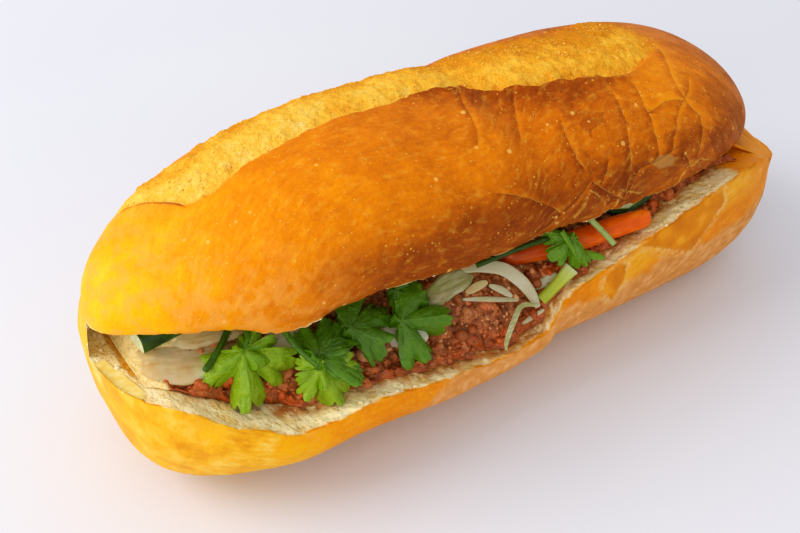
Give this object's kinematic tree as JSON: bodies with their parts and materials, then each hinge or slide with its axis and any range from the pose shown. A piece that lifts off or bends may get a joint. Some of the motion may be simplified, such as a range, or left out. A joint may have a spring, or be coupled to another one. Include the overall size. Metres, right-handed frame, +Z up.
{
  "type": "banh mi sandwich",
  "caption": "Banh mi: a crusty split roll with a pale torn score, filled with ground meat, onion, cucumber, chilli and coriander.",
  "frame": {"origin": "centre of the bounding box, at the height of the surface that the roll rests on", "axes": "+X along the roll towards the end where the slit closes, -Y towards the open side of the slit, +Z up"},
  "size_m": [0.2318, 0.0898, 0.0902],
  "materials": {
    "crust": "baked wheat crust, satin, golden to orange-brown; cream crumb inside the slit",
    "meat": "cooked ground meat, moist, brown-pink with red sauce",
    "onion": "wet translucent onion, off-white",
    "cucumber": "wet cucumber, dark green peel and pale flesh",
    "chilli": "glossy orange-red chilli skin",
    "green_onion": "moist yellow-green onion stalk",
    "herb": "fresh coriander leaf, bright green with a soft sheen"
  },
  "bodies": {
    "root": {"bread_roll": "crust", "ground_meat": "meat", "onion_slice_left": "onion", "onion_slice_behind": "onion", "onion_slice_middle": "onion", "onion_slice_centre": "onion", "onion_slice_green": "onion", "onion_piece_right": "onion", "cucumber_baton": "cucumber", "cucumber_slice": "cucumber", "red_chilli": "chilli", "green_onion_stalk": "green_onion", "onion_arc_outer": "onion", "onion_arc_inner": "onion", "onion_tip": "onion", "onion_shred_straight": "onion", "onion_shred_bent": "onion", "onion_shred_short": "onion", "coriander_stem_left": "herb", "coriander_sprig_left": "herb", "coriander_sprig_middle": "herb", "coriander_leaf_back": "herb", "coriander_leaf_centre": "herb", "coriander_leaf_upper": "herb", "coriander_sprig_right": "herb", "coriander_tip_right": "herb", "coriander_stem_back": "herb", "pale_stem_right": "herb"}
  },
  "joints": []
}
